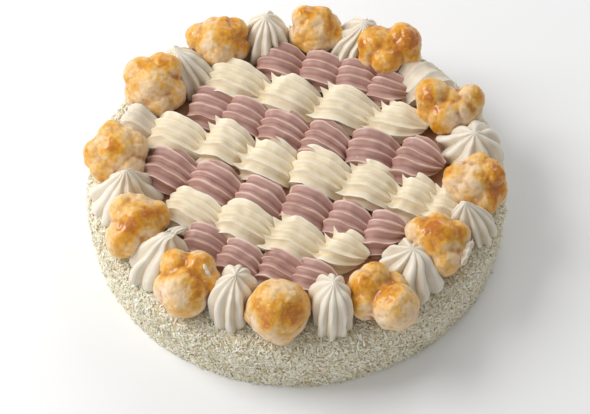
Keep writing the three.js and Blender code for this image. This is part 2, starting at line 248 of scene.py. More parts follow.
# Piped rows from back to front: distance of the row's line from the middle, slope, half width,
# where the row starts along its line, turn and swell of its last dollop, and for each dollop in
# turn its length and its shift to the back.
ROWS = [
    {"cream": "mocha", "offset": 0.0822, "slope": -20.5, "width": 0.0123, "start": -0.055,
     "last": (1, 1), "lengths": [0.029, 0.024, 0.023, 0.029],
     "shifts": [0, 0, 0, 0]},
    {"cream": "vanilla", "offset": 0.0564, "slope": -19.3, "width": 0.0130, "start": -0.079,
     "last": (0, 1), "lengths": [0.036, 0.037, 0.037, 0.038],
     "shifts": [0, 0, 0, -0.001]},
    {"cream": "mocha", "offset": 0.029, "slope": -21.5, "width": 0.0128, "start": -0.084,
     "last": (-4, 1.16), "lengths": [0.023, 0.026, 0.030, 0.028, 0.031, 0.032],
     "shifts": [0.001, 0.001, -0.0015, -0.0025, -0.0005, 0.0025]},
    {"cream": "vanilla", "offset": 0.001, "slope": -21, "width": 0.0136, "start": -0.099,
     "last": (0, 1), "lengths": [0.034, 0.029, 0.032, 0.034, 0.032, 0.023, 0.024],
     "shifts": [-0.003, 0.0035, 0.002, 0.003, 0.002, 0.0025, 0.003]},
    {"cream": "mocha", "offset": -0.027, "slope": -23.5, "width": 0.0126, "start": -0.091,
     "last": (11, 1.04), "lengths": [0.031, 0.031, 0.030, 0.029, 0.026, 0.027],
     "shifts": [-0.001, -0.0015, -0.0015, 0.0015, 0.0005, 0]},
    {"cream": "vanilla", "offset": -0.052, "slope": -24, "width": 0.0121, "start": -0.066,
     "last": (-1, 1.05), "lengths": [0.035, 0.033, 0.034, 0.030],
     "shifts": [-0.002, 0, 0, 0.005]},
    {"cream": "mocha", "offset": -0.0755, "slope": -25.5, "width": 0.0114, "start": -0.043,
     "last": (3, 1), "lengths": [0.025, 0.026, 0.021, 0.029],
     "shifts": [0, 0, 0.003, 0.003]},
]
# A dollop's height and least length, the turn of a covered one, and size and depth of the lumps.
DOLLOP_HEIGHTS = {"mocha": 0.0152, "vanilla": 0.0163}
SHORTEST_DOLLOP = 0.028
COVERED_TURN = 3
DOLLOP_LUMP = 0.011
DOLLOP_WOBBLE = 0.0022
# How the piping hand strayed: mean and spread of the width as a share of the row's, spread of the
# height as a share, of the place, and of the turn in degrees.
PIPING_SEED = 5
WIDTH_SPREAD = (1.23, 0.03)
HEIGHT_SPREAD = 0.04
PLACE_SPREAD = 0.0006
TURN_SPREAD = 3
# A station of a dollop from its head to its tail: share of its length, of its height, of its half
# width, and the shift of the tail towards the front or, below 0, the back.
COVERED_DOLLOP = [
    (-0.02, 0.40, 0.98, 0.0), (0.00, 0.62, 1.04, 0.0), (0.07, 0.80, 1.08, 0.0), (0.18, 0.93, 1.10, 0.0),
    (0.33, 1.00, 1.10, 0.0), (0.50, 0.99, 1.10, 0.01), (0.67, 0.93, 1.08, 0.02), (0.83, 0.81, 1.04, 0.03),
    (0.97, 0.64, 0.97, 0.05), (1.10, 0.43, 0.87, 0.06), (1.20, 0.21, 0.74, 0.08), (1.26, 0.00, 0.58, 0.09),
]
FREE_DOLLOP = [
    (-0.02, 0.40, 0.98, 0.0), (0.00, 0.62, 1.04, 0.0), (0.07, 0.80, 1.08, 0.0), (0.18, 0.92, 1.09, 0.0),
    (0.33, 0.97, 1.07, 0.0), (0.50, 0.94, 1.04, -0.03), (0.66, 0.86, 0.95, -0.08),
    (0.80, 0.75, 0.80, -0.14), (0.91, 0.63, 0.59, -0.19), (1.00, 0.53, 0.33, -0.23),
    (1.05, 0.48, 0.10, -0.25),
]
DOLLOP_PIVOT = (0.5, -1.1)
# A dollop that starts with an open rim of teeth leaves out the first station.
RIM_START = 1
# Turn of the first sections, so that the far side of a head starts later than the near side.
ROUND_HEAD_TURNS = [2, 2, 2, 1, 1]
RIM_HEAD_TURNS = [7, 6, 5, 3, 1]
# Dollops of the vanilla rows whose head is smooth, by row and place.
SMOOTH_HEADS = {(2, 1), (4, 1), (4, 4), (6, 1), (6, 2)}
# Teeth of a rim: their length, and as shares of it how far they spread, lean out and rise.
TOOTH = 0.30
TOOTH_SPREAD = 0.3
TOOTH_LEAN = 0.15
TOOTH_RISE = 0.35
# Sharpness of a dollop's ridge lines and of its rim.
DOLLOP_SHARPNESS = 1.0
RIM_SHARPNESS = 0.85
# Each cream's nozzle: fewest ridges and depth of the hollows.
NOZZLES = {"mocha": (14, 0.21), "vanilla": (15, 0.20)}
# Ways the hand piped a dollop: ridges more than the fewest, turn of the ridges along it, and seed.
# The waver of that turn is in degrees, and all points stray by a share of the dollop's size.
HANDS = [(0, 4, 1), (1, 10, 2), (0, 16, 3)]
DOLLOP_WAVER = 1.5
DOLLOP_UNEVENNESS = 0.03
# Share of the way from the pivot at which the hidden side of a section lies, how far the corners
# of a section stand out of an oval, and how far its points stray, as a share of a ridge's room.
HIDDEN_SIDE = 0.06
SQUARENESS = 0.16
RIDGE_STRAY = 1.1
# The points across one ridge, 1 on its crest and 0 in the hollow: a plump ridge has two on its
# crest. A value over the first or under the second bound counts as crest or hollow.
SHARP = [1.0, 0.0]
PLUMP = [1.0, 1.0, 0.0]
CREST_FROM = 0.9
HOLLOW_TO = 0.1
# Levels of the subdivision that rounds the cream.
CREAM_LEVELS = 2

# Colours as a screen shows them. Creams: in the hollows (painted shade), on the flanks, and along the
# ridges (painted highlight).
CREAMS = {
    "vanilla": {"hollow": (230, 211, 172), "flank": (238, 225, 198), "ridge": (248, 238, 217),
                "roughness": 0.5},
    "mocha": {"hollow": (162, 116, 105), "flank": (186, 146, 134), "ridge": (234, 203, 190),
              "roughness": 0.5},
    "whipped": {"hollow": (219, 204, 178), "flank": (225, 214, 195), "ridge": (235, 227, 211),
                "roughness": 0.45},
}
# Dough from bare to thick caramel, the painted shade in its folds, and its specks.
CARAMEL_STAGES = [(0.0, (240, 215, 184)), (0.30, (238, 204, 156)), (0.52, (235, 182, 90)),
                  (0.74, (226, 155, 26)), (1.0, (198, 114, 6))]
PAINTED_FOLD_SHADE = (180, 104, 20)
PALE_SPECK = (240, 212, 168)
# The range of the shreds' tints, the shade in them, the spread under them and the filling, whose
# brown is in part painted shade for the gaps between the toppings.
SHRED_TINTS = [(0.0, (227, 216, 186)), (0.25, (243, 235, 210)), (0.7, (251, 246, 228)),
               (1.0, (255, 253, 244))]
SHRED_SHADE = (222, 214, 194)
SPREAD_TONES = [(0.3, (216, 199, 163)), (0.7, (230, 216, 185))]
DECK_FILLING_AND_SHADE = (190, 140, 104)

# The camera stands as far from the cake as the picture's perspective asks.
PICTURE_WIDTH = 590
FOCAL_PIXELS = 1852
SENSOR_WIDTH = 36
CAMERA_TARGET = Vector((-0.0012, 0.0044, 0.0))
CAMERA_DISTANCE = 1.197
CAMERA_ELEVATION = 53.3
CAMERA_ROLL = -1.74

# Stage: a pale floor in soft light, most of it from the left.
FLOOR_SIZE = 6
FLOOR_COLOUR = (0.94, 0.94, 0.94, 1)
WHITE = (1, 1, 1, 1)
ROOM_LIGHT = 0.37
LIGHTS = [
    {"name": "key", "place": (-0.95, 0.25, 0.95), "size": 0.8, "power": 14.0},
    {"name": "fill", "place": (-0.95, -0.9, 0.7), "size": 0.9, "power": 2.4},
    {"name": "side", "place": (0.5, 1.05, 0.85), "size": 0.8, "power": 4.6},
]


def heading(bearing, tilt=0.0):
    """The unit vector at a bearing round +Z and a tilt above the level, in degrees."""
    flat = math.cos(math.radians(tilt))
    x = flat * math.cos(math.radians(bearing))
    y = flat * math.sin(math.radians(bearing))
    return Vector((x, y, math.sin(math.radians(tilt))))


def unit(vectors):
    return vectors / np.linalg.norm(vectors, axis=1, keepdims=True)


def paint(red, green, blue):
    """A colour as a screen shows it, 0 to 255, made linear for a shader."""
    channels = np.array([red, green, blue]) / 255
    low = channels / 12.92
    high = ((channels + 0.055) / 1.055) ** 2.4
    return (*np.where(channels <= 0.04045, low, high).tolist(), 1.0)


# Modelling helpers


def select_only(piece):
    bpy.ops.object.select_all(action="DESELECT")
    piece.select_set(True)
    bpy.context.view_layer.objects.active = piece


def apply_modifier(piece, kind, **settings):
    select_only(piece)
    modifier = piece.modifiers.new(kind.lower(), kind)
    for key, value in settings.items():
        setattr(modifier, key, value)
    bpy.ops.object.modifier_apply(modifier=modifier.name)


def displace(piece, texture, depth, middle=0.5):
    """Moves the surface in and out by a texture, whose middle value leaves it where it is."""
    apply_modifier(piece, "DISPLACE", texture=texture, texture_coords="LOCAL", strength=depth,
                   mid_level=middle)


def soften(piece, rounds):
    apply_modifier(piece, "SMOOTH", factor=0.5, iterations=rounds)


def settle(piece):
    """Puts the piece's place, turn and size into its mesh."""
    select_only(piece)
    bpy.ops.object.transform_apply(location=True, rotation=True, scale=True)


def make_slab():
    """A slab whose top is level with the deck, to cut the feet of the toppings flat."""
    bpy.ops.object.select_all(action="DESELECT")
    bpy.ops.mesh.primitive_cube_add(
        size=1, location=(0, 0, DECK - SLAB_DEPTH / 2), scale=(SLAB_WIDTH, SLAB_WIDTH, SLAB_DEPTH))
    slab = bpy.context.object
    slab.name = "foot_slab"
    settle(slab)
    return slab


def flatten_foot(piece, slab):
    apply_modifier(piece, "BOOLEAN", object=slab, operation="DIFFERENCE", solver="MANIFOLD")


def smooth_shade(piece, angle):
    select_only(piece)
    bpy.ops.object.shade_smooth_by_angle(angle=math.radians(angle))


def copy_of(model, name):
    piece = model.copy()
    piece.data = model.data.copy()
    piece.name = name
    piece.data.name = name
    bpy.context.scene.collection.objects.link(piece)
    return piece


def dress(piece, material, slot, *nodes):
    """Gives a finished piece its material and body, and hides the solids that it stands for; the slot is
    not used.
    """
    piece.data.materials.clear()
    piece.data.materials.append(material)
    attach(piece, "root")
    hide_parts(*nodes)


def lump_texture(name, kind, size, **settings):
    texture = bpy.data.textures.new(name, kind)
    texture.noise_scale = size
    for key, value in settings.items():
        setattr(texture, key, value)
    return texture


def point_values(piece, name, values):
    attribute = piece.data.attributes.new(name, "FLOAT", "POINT")
    attribute.data.foreach_set("value", np.asarray(values, np.float32))


# Shader helpers


def link(tree, output, target):
    tree.links.new(output, target)


def add_node(tree, kind, **settings):
    node = tree.nodes.new(kind)
    for key, value in settings.items():
        setattr(node, key, value)
    return node


def ramp(tree, factor, stops, interpolation="EASE"):
    """The colour at a factor between stops, each a place and a colour as a screen shows it."""
    node = add_node(tree, "ShaderNodeValToRGB")
    node.color_ramp.interpolation = interpolation
    while len(node.color_ramp.elements) < len(stops):
        node.color_ramp.elements.new(1.0)
    for element, (place, colour) in zip(node.color_ramp.elements, stops):
        element.position = place
        element.color = paint(*colour)
    link(tree, factor, node.inputs["Fac"])
    return node.outputs["Color"]


def feed(tree, socket, value):
    """Sets a socket to a plain value, or links it to another node's output."""
    if isinstance(value, (int, float, tuple)):
        socket.default_value = value
    else:
        link(tree, value, socket)


def math_node(tree, operation, *values, clamp=False):
    node = add_node(tree, "ShaderNodeMath", operation=operation, use_clamp=clamp)
    for socket, value in zip(node.inputs, values):
        feed(tree, socket, value)
    return node.outputs[0]


def swing(tree, cloud, size):
    """A cloud's swing about its middle, 0.5, made this large from end to end."""
    return math_node(tree, "MULTIPLY_ADD", cloud, size, -size / 2)


def mix_colour(tree, factor, first, second):
    """Two colours mixed by a factor: the node takes colours at its sockets 6 and 7."""
    node = add_node(tree, "ShaderNodeMix", data_type="RGBA", blend_type="MIX")
    for number, value in ((0, factor), (6, first), (7, second)):
        feed(tree, node.inputs[number], value)
    return node.outputs[2]


def value_range(tree, value, start, end, low, high):
    node = add_node(tree, "ShaderNodeMapRange")
    for name, number in (("From Min", start), ("From Max", end), ("To Min", low), ("To Max", high)):
        node.inputs[name].default_value = number
    link(tree, value, node.inputs["Value"])
    return node.outputs["Result"]


def point_value(tree, name):
    return add_node(tree, "ShaderNodeAttribute", attribute_name=name).outputs["Fac"]


def make_mottle_group():
    """Soft blotches over a surface: a broad and a fine cloud, each about 0.5 in the middle."""
    group = bpy.data.node_groups.new("mottle", "ShaderNodeTree")
    for name in ("Broad Scale", "Fine Scale"):
        group.interface.new_socket(name, in_out="INPUT", socket_type="NodeSocketFloat")
    for name in ("Broad", "Fine"):
        group.interface.new_socket(name, in_out="OUTPUT", socket_type="NodeSocketFloat")
    start = add_node(group, "NodeGroupInput")
    end = add_node(group, "NodeGroupOutput")
    place = add_node(group, "ShaderNodeTexCoord")
    for name in ("Broad", "Fine"):
        cloud = add_node(group, "ShaderNodeTexNoise")
        cloud.inputs["Detail"].default_value = 3
        link(group, place.outputs["Object"], cloud.inputs["Vector"])
        link(group, start.outputs[name + " Scale"], cloud.inputs["Scale"])
        link(group, cloud.outputs["Fac"], end.inputs[name])
    return group


def mottle(tree, broad, fine):
    node = add_node(tree, "ShaderNodeGroup", node_tree=MOTTLE)
    node.inputs["Broad Scale"].default_value = broad
    node.inputs["Fine Scale"].default_value = fine
    return node.outputs["Broad"], node.outputs["Fine"]


def new_material(name, **constants):
    material = bpy.data.materials.new(name)
    material.use_nodes = True
    tree = material.node_tree
    shader = tree.nodes["Principled BSDF"]
    for key, value in constants.items():
        shader.inputs[key.replace("_", " ")].default_value = value
    return material, tree, shader


def add_bump(tree, shader, height, strength, distance):
    bump = add_node(tree, "ShaderNodeBump")
    bump.inputs["Strength"].default_value = strength
    bump.inputs["Distance"].default_value = distance
    link(tree, height, bump.inputs["Height"])
    link(tree, bump.outputs["Normal"], shader.inputs["Normal"])


# Materials


def cream_material(name, hollow, flank, ridge, roughness):
    """Piped cream: the ridge lines are paler than the hollows between them, a painted highlight on the
    ridges and painted shade in the hollows.
    """
    material, tree, shader = new_material(
        name, Subsurface_Weight=0.22, Subsurface_Scale=0.003, Subsurface_Radius=(1.0, 0.8, 0.6))
    broad, fine = mottle(tree, broad=60, fine=420)
    # Painted light: the crest value makes the ridge lines paler and the hollows darker.
    level = math_node(tree, "ADD", point_value(tree, "crest"), swing(tree, broad, 0.24), clamp=True)
    tones = [(0.0, hollow), (0.4, flank), (0.76, flank), (0.96, ridge)]
    link(tree, ramp(tree, level, tones, "LINEAR"), shader.inputs["Base Color"])
    uneven = value_range(tree, fine, start=0.3, end=0.7, low=roughness - 0.06, high=roughness + 0.06)
    link(tree, uneven, shader.inputs["Roughness"])
    add_bump(tree, shader, fine, strength=0.18, distance=0.0006)
    return material


def choux_material():
    """Baked dough, part of it under glossy caramel, with painted shade that darkens the folds."""
    material, tree, shader = new_material(
        "glazed_choux", Subsurface_Weight=0.06, Subsurface_Scale=0.002, Coat_Roughness=0.12)
    broad, fine = mottle(tree, broad=90, fine=330)
    blotches = math_node(tree, "ADD", swing(tree, broad, 1.3), swing(tree, fine, 0.7))
    cover = math_node(tree, "ADD", point_value(tree, "caramel"), blotches, clamp=True)
    glaze = ramp(tree, cover, CARAMEL_STAGES)
    # Painted shade: where the mesh folds inward the colour goes darker orange-brown.
    fold_shade_share = value_range(tree, point_value(tree, "fold"), start=0.42, end=0.88, low=0.0, high=0.9)
    glaze_with_fold_shade = mix_colour(tree, fold_shade_share, glaze, paint(*PAINTED_FOLD_SHADE))
    speck = value_range(tree, fine, start=0.60, end=0.74, low=0.0, high=0.5)
    link(tree, mix_colour(tree, speck, glaze_with_fold_shade, paint(*PALE_SPECK)), shader.inputs["Base Color"])
    dull = value_range(tree, cover, start=0.3, end=0.8, low=0.6, high=0.34)
    link(tree, dull, shader.inputs["Roughness"])
    gloss = value_range(tree, cover, start=0.45, end=0.9, low=0.0, high=0.6)
    link(tree, gloss, shader.inputs["Coat Weight"])
    bare = value_range(tree, cover, start=0.4, end=0.8, low=1.0, high=0.2)
    add_bump(tree, shader, math_node(tree, "MULTIPLY", fine, bare), strength=0.7, distance=0.0011)
    return material


def shred_material():
    """Pale shreds, each with a tint of its own."""
    material, tree, shader = new_material(
        "shred_coat", Roughness=0.6, Subsurface_Weight=0.1, Subsurface_Scale=0.001)
    fine = mottle(tree, broad=40, fine=900)[1]
    colour = ramp(tree, point_value(tree, "tint"), SHRED_TINTS, "LINEAR")
    shade = value_range(tree, fine, start=0.3, end=0.7, low=0.0, high=0.2)
    link(tree, mix_colour(tree, shade, colour, paint(*SHRED_SHADE)), shader.inputs["Base Color"])
    return material


def spread_and_shaded_filling_material():
    """The spread cream under the coat, and the filling on the deck inside it, whose brown is in part
    painted shade for the gaps between the toppings.
    """
    material, tree, shader = new_material("spread_cream", Roughness=0.6)
    broad, fine = mottle(tree, broad=70, fine=500)
    spread = ramp(tree, broad, SPREAD_TONES)
    flat = add_node(tree, "ShaderNodeVectorMath", operation="MULTIPLY")
    flat.inputs[1].default_value = (1, 1, 0)
    link(tree, add_node(tree, "ShaderNodeTexCoord").outputs["Object"], flat.inputs[0])
    distance = add_node(tree, "ShaderNodeVectorMath", operation="LENGTH")
    link(tree, flat.outputs["Vector"], distance.inputs[0])
    rim = value_range(tree, distance.outputs["Value"], start=COAT_INNER_RADIUS - COAT_FADE,
                      end=COAT_INNER_RADIUS, low=0.0, high=1.0)
    # Inside the rim the filling's brown, in part painted shade for the gaps between the toppings.
    link(tree, mix_colour(tree, rim, paint(*DECK_FILLING_AND_SHADE), spread), shader.inputs["Base Color"])
    add_bump(tree, shader, fine, strength=0.4, distance=0.001)
    return material


# Piped cream


def turn_points(angle, axis, centre=(0, 0, 0)):
    """Turns the selected points by the right-hand rule."""
    bpy.ops.transform.rotate(value=-math.radians(angle), orient_axis=axis, center_override=centre)


def size_points(x, y):
    bpy.ops.transform.resize(value=(x, y, 1), center_override=(0, 0, 0))


def select_points(piece, wanted):
    """Selects, in edit mode, the points whose index and crest value are wanted."""
    cage = bmesh.from_edit_mesh(piece.data)
    crest = cage.verts.layers.float["crest"]
    cage.verts.index_update()
    for point in cage.verts:
        point.select = wanted(point.index, point[crest])
    cage.select_flush_mode()
    bmesh.update_edit_mesh(piece.data)


def upright_sections(stations):
    """Level sections from rise, half sizes along X and Y, and shifts along them."""
    return [(Vector((shift_x, shift_y, rise)), deep, wide, 0)
            for rise, deep, wide, shift_x, shift_y in stations]


def fan_sections(outline, pivot):
    """Sections that fan about a pivot under the deck, from X, rise, half width and sideways shift."""
    sections = []
    for along, rise, wide, side in outline:
        hub = Vector((pivot[0], side, pivot[1]))
        outer = Vector((along, side, rise))
        inner = hub.lerp(outer, HIDDEN_SIDE)
        pitch = math.degrees(math.atan2(outer.z - hub.z, outer.x - hub.x))
        sections.append(((inner + outer) / 2, (outer - inner).length / 2, wide, pitch))
    return sections


def draw_nozzle(name, ridges, groove, seed, profile):
    """A flat ridged section of unit size, left in edit mode with all of it selected."""
    bpy.ops.object.select_all(action="DESELECT")
    bpy.ops.mesh.primitive_circle_add(vertices=len(profile) * ridges, radius=1, fill_type="NGON")
    piece = bpy.context.object
    piece.name = name
    point_values(piece, "crest", profile * ridges)
    bpy.ops.object.mode_set(mode="EDIT")
    bpy.ops.mesh.select_mode(type="VERT")
    for point in bmesh.from_edit_mesh(piece.data).verts:
        point.co *= 1 + SQUARENESS * (2 * point.co.x * point.co.y) ** 2
    select_points(piece, lambda index, crest: crest < HOLLOW_TO)
    size_points(1 - groove, 1 - groove)
    bpy.ops.mesh.select_all(action="SELECT")
    bpy.ops.transform.vertex_random(offset=RIDGE_STRAY / ridges, seed=seed)
    bpy.ops.transform.resize(value=(1, 1, 0), center_override=(0, 0, 0))
    return piece


def pipe_cream(name, sections, seed, profile, ridges, groove, twist, waver):
    """A ridged form through sections: their middle, half depth, half width and pitch."""
    draws = np.random.default_rng(seed)
    piece = draw_nozzle(name, ridges, groove, seed, profile)
    middle, deep, wide, pitch = sections[0]
    size_points(deep, wide)
    turn_points(-pitch, "Y")
    bpy.ops.transform.translate(value=middle)
    for after in sections[1:]:
        bpy.ops.mesh.extrude_region_move(TRANSFORM_OT_translate={"value": -middle})
        turn_points(pitch, "Y")
        size_points(1 / deep, 1 / wide)
        turn_points(twist / (len(sections) - 1) + draws.normal(0, waver), "Z")
        middle, deep, wide, pitch = after
        size_points(deep, wide)
        turn_points(-pitch, "Y")
        bpy.ops.transform.translate(value=middle)
    bpy.ops.mesh.select_all(action="DESELECT")
    bpy.ops.mesh.select_face_by_sides(number=4, type="GREATER")
    bpy.ops.mesh.poke()
    bpy.ops.mesh.select_all(action="SELECT")
    bpy.ops.mesh.normals_make_consistent(inside=False)
    bpy.ops.object.mode_set(mode="OBJECT")
    return piece


def crease_ridges(piece, sharpness, rim_points=0, hollows=False):
    """Keeps the ridge lines or the hollows sharp, and the rim that the first points make."""
    mesh = piece.data
    crest = np.zeros(len(mesh.vertices), np.float32)
    mesh.attributes["crest"].data.foreach_get("value", crest)
    ends = np.zeros(2 * len(mesh.edges), np.int32)
    mesh.edges.foreach_get("vertices", ends)
    ends = ends.reshape(-1, 2)
    if hollows:
        along = crest[ends].max(axis=1) < HOLLOW_TO
    else:
        along = crest[ends].min(axis=1) > CREST_FROM
    rim = ends.max(axis=1) < rim_points
    crease = mesh.attributes.new("crease_edge", "FLOAT", "EDGE")
    values = np.where(along, sharpness, np.where(rim, RIM_SHARPNESS, 0.0))
    crease.data.foreach_set("value", values.astype(np.float32))


def round_off(piece, texture, wobble):
    """Rounds the form between its creases and makes it a little uneven."""
    apply_modifier(piece, "SUBSURF", levels=CREAM_LEVELS, render_levels=CREAM_LEVELS)
    displace(piece, texture, wobble)


def finish_cream(piece, slab, texture, wobble):
    """Rounds the form off and stands it on the deck."""
    round_off(piece, texture, wobble)
    flatten_foot(piece, slab)
    smooth_shade(piece, RIDGE_ANGLE)


def draw_out_teeth(piece, ring, middle, tooth):
    """Draws the crests of the first ring of points out into the teeth of an open rim."""
    select_points(piece, lambda index, crest: index < ring and crest > CREST_FROM)
    reach = (1 + tooth, 1 + TOOTH_SPREAD * tooth, 1 + tooth)
    bpy.ops.transform.resize(value=reach, center_override=middle)
    bpy.ops.transform.translate(value=(TOOTH_LEAN * tooth, 0, TOOTH_RISE * tooth))


def dollop_model(name, ridges, groove, outline, head_turns, tooth, twist, seed):
    """One dollop of unit size, with its head at the origin and its tail towards -X."""
    backward = [(-along, rise, wide, side) for along, rise, wide, side in outline]
    sections = fan_sections(backward, (-DOLLOP_PIVOT[0], DOLLOP_PIVOT[1]))
    piece = pipe_cream(name, sections, seed, SHARP, ridges, groove, twist, DOLLOP_WAVER)
    ring = len(SHARP) * ridges
    crease_ridges(piece, DOLLOP_SHARPNESS, ring if tooth else 0)
    bpy.ops.object.mode_set(mode="EDIT")
    draw_out_teeth(piece, ring, sections[0][0], tooth)
    for number, (turn, (middle, _, wide, _)) in enumerate(zip(head_turns, sections)):
        select_points(piece, lambda index, crest: index // ring == number)
        turn_points(-turn, "Z", (middle.x, wide, middle.z))
    bpy.ops.mesh.select_all(action="SELECT")
    bpy.ops.transform.vertex_random(offset=DOLLOP_UNEVENNESS, seed=seed)
    bpy.ops.object.mode_set(mode="OBJECT")
    return piece


def dollop_models():
    """The dollops of unit size, by cream and kind: round heads, rims of teeth, and free tails."""
    round_head = {"outline": COVERED_DOLLOP, "head_turns": ROUND_HEAD_TURNS, "tooth": 0}
    rim_head = {"outline": COVERED_DOLLOP[RIM_START:], "head_turns": RIM_HEAD_TURNS, "tooth": TOOTH}
    free_tails = {
        "mocha": {"outline": FREE_DOLLOP, "head_turns": ROUND_HEAD_TURNS, "tooth": 0},
        "vanilla": {"outline": FREE_DOLLOP[RIM_START:], "head_turns": RIM_HEAD_TURNS, "tooth": TOOTH},
    }
    models = {}
    for cream, (ridges, groove) in NOZZLES.items():
        for kind, shape in (("round", round_head), ("rim", rim_head), ("free", free_tails[cream])):
            models[cream, kind] = []
            for more, twist, seed in HANDS:
                name = f"{cream}_{kind}_{seed}"
                model = dollop_model(name, ridges + more, groove, twist=twist, seed=seed, **shape)
                models[cream, kind].append(model)
    return models


def dollop_kind(number, place):
    """A row ends in a free tail, and any other dollop has a round head or a rim of teeth."""
    row = ROWS[number - 1]
    if place == len(row["lengths"]):
        return "free"
    if row["cream"] == "mocha" or (number, place) in SMOOTH_HEADS:
        return "round"
    return "rim"


def pipe_rows(creams, slab):
    """The rows of dollops, each head on the tail of the dollop before it."""
    draws = np.random.default_rng(PIPING_SEED)
    lumps = lump_texture("cream_lumps", "CLOUDS", DOLLOP_LUMP, noise_depth=1)
    models = dollop_models()
    for number, row in enumerate(ROWS, 1):
        cream = row["cream"]
        forward = heading(row["slope"])
        across = heading(row["slope"] + 90)
        start = row["start"]
        for place, (length, shift) in enumerate(zip(row["lengths"], row["shifts"]), 1):
            kind = dollop_kind(number, place)
            choice = models[cream, kind]
            name = f"dollop_{number}_{place}"
            piece = copy_of(choice[draws.integers(len(choice))], "cream_" + name)
            sideways = draws.normal(0, PLACE_SPREAD)
            spot = across * (row["offset"] + shift + sideways) + forward * start
            piece.location = (spot.x, spot.y, DECK)
            if kind == "free":
                reach = length
                usual_turn, swell = row["last"]
            else:
                reach = max(length, SHORTEST_DOLLOP)
                usual_turn, swell = COVERED_TURN, 1
            wide = swell * row["width"] * draws.normal(*WIDTH_SPREAD)
            high = swell * DOLLOP_HEIGHTS[cream] * draws.normal(1.0, HEIGHT_SPREAD)
            piece.scale = (reach, wide, high)
            # The model's tail points to -X, so the dollop is turned half round.
            turn = draws.normal(usual_turn, TURN_SPREAD)
            piece.rotation_euler = (0, 0, math.radians(row["slope"] + turn + 180))
            settle(piece)
            finish_cream(piece, slab, lumps, DOLLOP_WOBBLE)
            dress(piece, creams[cream], cream + "_cream", name)
            start += length
    for choice in models.values():
        for model in choice:
            bpy.data.objects.remove(model)


def puff_bearing(number):
    return FIRST_PUFF - PUFF_STEP * number + PUFFS[number % len(PUFFS)]["turn"]


def rosette_sections(form, height, half, lean):
    """The sections of a rosette of a form, with its peak leant out of the ring and round it."""
    stations = ROSETTE_FORMS[form]["stations"]
    long, wide = half
    out, side = lean
    if form == "fan":
        outline = [(long * along, height * rise, wide * swell, side * share)
                   for along, rise, swell, share in stations]
        return fan_sections(outline, (long * FAN_PIVOT[0], height * FAN_PIVOT[1]))
    return upright_sections([(height * rise, long * swell, wide * swell, out * share, side * share)
                             for rise, swell, share in stations])


def pipe_rosettes(cream, slab):
    """A rosette between each puff and the next. All but the fans have plump ridges."""
    lumps = lump_texture("rosette_lumps", "CLOUDS", ROSETTE_LUMP, noise_depth=1)
    for number, shape in enumerate(ROSETTES):
        form = ROSETTE_FORMS[shape["form"]]
        plump = shape["form"] != "fan"
        sections = rosette_sections(shape["form"], shape["height"], shape["half"], shape["lean"])
        name = f"rosette_{number + 1:02d}"
        piece = pipe_cream("cream_" + name, sections, number, PLUMP if plump else SHARP,
                           form["ridges"], form["groove"], form["twist"], form["waver"])
        crease_ridges(piece, ROSETTE_SHARPNESS, hollows=plump)
        bearing = (puff_bearing(number) + puff_bearing(number + 1)) / 2
        spot = heading(bearing) * (ROSETTE_RING + shape["out"])
        piece.location = (spot.x, spot.y, DECK)
        piece.rotation_euler = (0, 0, math.radians(bearing))
        settle(piece)
        finish_cream(piece, slab, lumps, ROSETTE_WOBBLE)
        dress(piece, cream, "whipped_cream", name)


def add_white_streaks(cream):
    """The white streaks on the puffs, each a short lumpy string of cream; on puff 10 it is a painted
    highlight of the glossy caramel.
    """
    lumps = lump_texture("smear_lumps", "CLOUDS", SMEAR_LUMP, noise_depth=1)
    for streak in WHITE_STREAKS:
        number = streak["puff"]
        run = Vector(streak["run"])
        half = streak["half"]
        sections = upright_sections([(run.length * share, half * swell, half * swell, 0, 0)
                                     for share, swell in SMEAR_STATIONS])
        # On puff 10 the streak is a painted highlight of the glossy caramel, made of cream.
        piece = pipe_cream(f"white_streak_on_puff_{number:02d}", sections, number, SHARP, **SMEAR_FORM)
        piece.location = streak["place"]
        piece.rotation_euler = run.to_track_quat("Z", "Y").to_euler()
        settle(piece)
        round_off(piece, lumps, SMEAR_WOBBLE * half)
        smooth_shade(piece, SOFT_ANGLE)
        dress(piece, cream, "whipped_cream", f"puff_{number:02d}")


# Choux puffs


def neighbour_mean(mesh, values):
    """The mean of a value over each point's neighbours along the edges."""
    ends = np.zeros(2 * len(mesh.edges), np.int32)
    mesh.edges.foreach_get("vertices", ends)
    first, second = ends.reshape(-1, 2).T
    total = np.zeros_like(values)
    np.add.at(total, first, values[second])
    np.add.at(total, second, values[first])
    count = np.bincount(ends, minlength=len(mesh.vertices)).astype(float)
    return total / count.reshape((-1,) + (1,) * (values.ndim - 1))


def points_and_normals(mesh):
    places = np.zeros(3 * len(mesh.vertices))
    normals = np.zeros(3 * len(mesh.vertices))
    mesh.vertices.foreach_get("co", places)
    mesh.vertices.foreach_get("normal", normals)
    return places.reshape(-1, 3), normals.reshape(-1, 3)


def mark_choux(piece, centre, caramel):
    """Marks the folds of a puff, which get painted shade, and the sides that caught the caramel."""
    places, normals = points_and_normals(piece.data)
    hollow = ((neighbour_mean(piece.data, places) - places) * normals).sum(axis=1)
    for _ in range(FOLD_BLUR):
        hollow = neighbour_mean(piece.data, hollow)
    point_values(piece, "fold", np.clip(0.5 + hollow / FOLD_DEPTH, 0, 1))
    outward = unit(places - np.array(centre))
    facing = unit(FACING_PLACE * outward + FACING_NORMAL * normals)
    cover = THIN_CARAMEL + TOP_CARAMEL * facing[:, 2]
    for bearing, tilt, spread, depth in caramel:
        away = np.degrees(np.arccos(np.clip(facing @ np.array(heading(bearing, tilt)), -1, 1)))
        cover += PATCH_CARAMEL * depth * np.exp(-((away / spread) ** 2))
    point_values(piece, "caramel", np.clip(cover, 0, 1))


